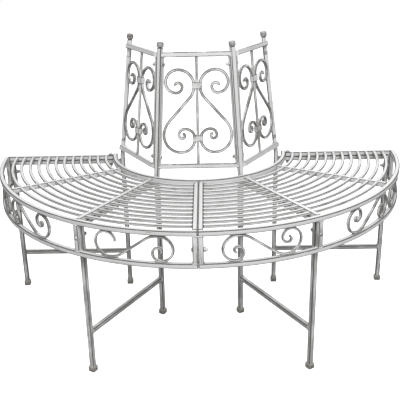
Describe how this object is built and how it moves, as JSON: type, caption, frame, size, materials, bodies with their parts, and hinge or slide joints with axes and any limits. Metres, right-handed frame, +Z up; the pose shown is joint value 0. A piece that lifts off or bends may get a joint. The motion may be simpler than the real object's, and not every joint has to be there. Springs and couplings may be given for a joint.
{
  "type": "tree bench",
  "caption": "Half-round painted metal garden bench that stands around a tree trunk, with a slatted seat, scrolled apron and a leaning scrollwork back.",
  "frame": {"origin": "middle of the bench's footprint, on the ground; the trunk's axis is the line x = 0, y = 0.2985 m", "axes": "+Z up, +X to the sitter's-view right when facing the bench from the front, +Y from the curved front edge toward the tree"},
  "size_m": [1.2, 0.603, 0.8135],
  "materials": {
    "frame_paint": "rubbed-back grey-white paint on square steel tube",
    "slat_paint": "rubbed-back grey-white paint on flat steel bar",
    "scroll_paint": "rubbed-back grey-white paint on bent steel strip",
    "finial_paint": "grey-white paint worn through to brown",
    "fastener_paint": "painted steel bolts and closed nuts",
    "foot_cap": "matte grey moulded caps"
  },
  "bodies": {
    "root": {"apron_lower_rim_left": "frame_paint", "apron_lower_rim_right": "frame_paint", "apron_posts_left": "frame_paint", "apron_posts_right": "frame_paint", "apron_scroll_1_left": "scroll_paint", "apron_scroll_1_right": "scroll_paint", "apron_scroll_2_left": "scroll_paint", "apron_scroll_2_right": "scroll_paint", "apron_scroll_3_left": "scroll_paint", "apron_scroll_3_right": "scroll_paint", "bolt_spacers": "fastener_paint", "bolts": "fastener_paint", "cap_nuts": "fastener_paint", "feet": "foot_cap", "finials": "finial_paint", "frame_rail_1": "frame_paint", "frame_rail_2": "frame_paint", "frame_rail_3": "frame_paint", "frame_rail_4": "frame_paint", "outer_leg_1": "frame_paint", "outer_leg_2": "frame_paint", "outer_leg_3": "frame_paint", "outer_leg_4": "frame_paint", "panel_centre_bottom_rail": "frame_paint", "panel_centre_rod": "scroll_paint", "panel_centre_scrolls": "scroll_paint", "panel_centre_stiles": "frame_paint", "panel_centre_top_rail": "frame_paint", "panel_collars": "scroll_paint", "panel_left_bottom_rail": "frame_paint", "panel_left_rod": "scroll_paint", "panel_left_scrolls": "scroll_paint", "panel_left_stiles": "frame_paint", "panel_left_top_rail": "frame_paint", "panel_right_bottom_rail": "frame_paint", "panel_right_rod": "scroll_paint", "panel_right_scrolls": "scroll_paint", "panel_right_stiles": "frame_paint", "panel_right_top_rail": "frame_paint", "seat_back_bar_left": "frame_paint", "seat_back_bar_right": "frame_paint", "seat_inner_rim_left": "frame_paint", "seat_inner_rim_right": "frame_paint", "seat_outer_rim_left": "frame_paint", "seat_outer_rim_right": "frame_paint", "seat_seam_bar_left": "frame_paint", "seat_seam_bar_right": "frame_paint", "seat_slats_left": "slat_paint", "seat_slats_right": "slat_paint", "slat_bars_left": "frame_paint", "slat_bars_right": "frame_paint", "stretcher_1": "frame_paint", "stretcher_2": "frame_paint", "stretcher_3": "frame_paint", "stretcher_4": "frame_paint", "tall_post_1": "frame_paint", "tall_post_2": "frame_paint", "tall_post_3": "frame_paint", "tall_post_4": "frame_paint"}
  },
  "joints": []
}
